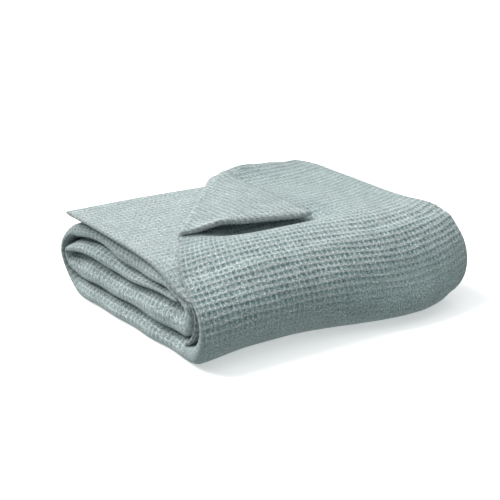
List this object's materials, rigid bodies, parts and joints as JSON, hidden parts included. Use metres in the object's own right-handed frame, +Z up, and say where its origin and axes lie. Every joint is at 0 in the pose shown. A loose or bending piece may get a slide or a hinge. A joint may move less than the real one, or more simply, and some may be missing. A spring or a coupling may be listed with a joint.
{
  "type": "folded waffle weave cotton blanket",
  "caption": "Soft waffle weave cotton blanket, folded lengthwise and rolled up flat into a thick bundle, with its loose top corner turned back.",
  "frame": {"origin": "on the surface it rests on, under the middle of the bundle's box", "axes": "+X along the rolls, from the end whose layers show to the rounded end; +Y from the front roll to the back; +Z up"},
  "size_m": [0.4646, 0.3917, 0.144],
  "materials": {
    "waffle_cotton": "matte"
  },
  "bodies": {
    "root": {"folded_blanket": "waffle_cotton"}
  },
  "joints": []
}
